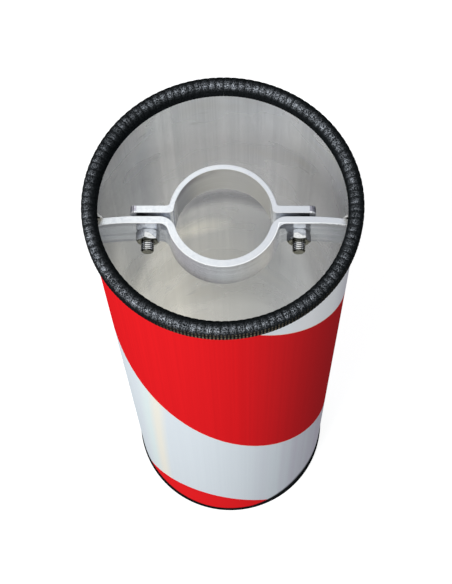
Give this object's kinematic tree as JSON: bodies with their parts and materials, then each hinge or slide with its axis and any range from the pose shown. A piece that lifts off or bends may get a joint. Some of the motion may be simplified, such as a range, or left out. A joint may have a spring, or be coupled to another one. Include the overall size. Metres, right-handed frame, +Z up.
{
  "type": "reflective post sleeve",
  "caption": "Striped reflective aluminium sleeve with rubber edge trims that bolts round a post with saddle clamps inside, to make the post easier to see.",
  "frame": {"origin": "centre of the foot, on the floor under the bottom trim", "axes": "+Z up along the post's axis, +X along the clamp bars, -Y towards the nuts"},
  "size_m": [0.2092, 0.2092, 0.6],
  "materials": {
    "tube_aluminium": "mill",
    "film_white": "retroreflective",
    "film_red": "retroreflective",
    "trim_rubber": "grained",
    "core_steel": "mill",
    "clamp_aluminium": "satin",
    "weld_aluminium": "as welded",
    "stainless": "bright"
  },
  "bodies": {
    "sleeve": {"sleeve_tube": "tube_aluminium", "film_upper_white": "film_white", "film_red_band": "film_red", "film_lower_white": "film_white", "film_foot_red": "film_red", "top_trim": "trim_rubber", "top_trim_core": "core_steel", "bottom_trim": "trim_rubber", "upper_clamp_bar": "clamp_aluminium", "upper_left_weld": "weld_aluminium", "upper_right_weld": "weld_aluminium", "lower_clamp_bar": "clamp_aluminium", "lower_left_weld": "weld_aluminium", "lower_right_weld": "weld_aluminium"},
    "upper_cap": {"upper_clamp_cap": "clamp_aluminium", "upper_left_bolt": "stainless", "upper_right_bolt": "stainless"},
    "upper_left_nut": {"upper_left_nut": "stainless"},
    "upper_right_nut": {"upper_right_nut": "stainless"},
    "lower_cap": {"lower_clamp_cap": "clamp_aluminium", "lower_left_bolt": "stainless", "lower_right_bolt": "stainless"},
    "lower_left_nut": {"lower_left_nut": "stainless"},
    "lower_right_nut": {"lower_right_nut": "stainless"}
  },
  "joints": [
    {"name": "upper_left_nut_turn", "type": "hinge", "parent": "sleeve", "child": "upper_left_nut", "pos_m": [-0.05731, -0.0079, 0.5573], "axis": [0, -1, 0], "range_deg": [-580, 1876]},
    {"name": "upper_right_nut_turn", "type": "hinge", "parent": "sleeve", "child": "upper_right_nut", "pos_m": [0.05731, -0.0079, 0.5573], "axis": [0, -1, 0], "range_deg": [-580, 1876]},
    {"name": "upper_cap_slide", "type": "slide", "parent": "sleeve", "child": "upper_cap", "axis": [0, 1, 0], "range_m": [-0.0024, 0.0078]},
    {"name": "lower_left_nut_turn", "type": "hinge", "parent": "sleeve", "child": "lower_left_nut", "pos_m": [-0.05731, -0.0079, 0.0427], "axis": [0, -1, 0], "range_deg": [-580, 1876]},
    {"name": "lower_right_nut_turn", "type": "hinge", "parent": "sleeve", "child": "lower_right_nut", "pos_m": [0.05731, -0.0079, 0.0427], "axis": [0, -1, 0], "range_deg": [-580, 1876]},
    {"name": "lower_cap_slide", "type": "slide", "parent": "sleeve", "child": "lower_cap", "axis": [0, 1, 0], "range_m": [-0.0024, 0.0078]}
  ],
  "couplings": [
    {"joint": "upper_left_nut_turn", "follows": "upper_cap_slide", "rad_per_m": 4188.8},
    {"joint": "upper_right_nut_turn", "follows": "upper_cap_slide", "rad_per_m": 4188.8},
    {"joint": "lower_left_nut_turn", "follows": "lower_cap_slide", "rad_per_m": 4188.8},
    {"joint": "lower_right_nut_turn", "follows": "lower_cap_slide", "rad_per_m": 4188.8}
  ]
}
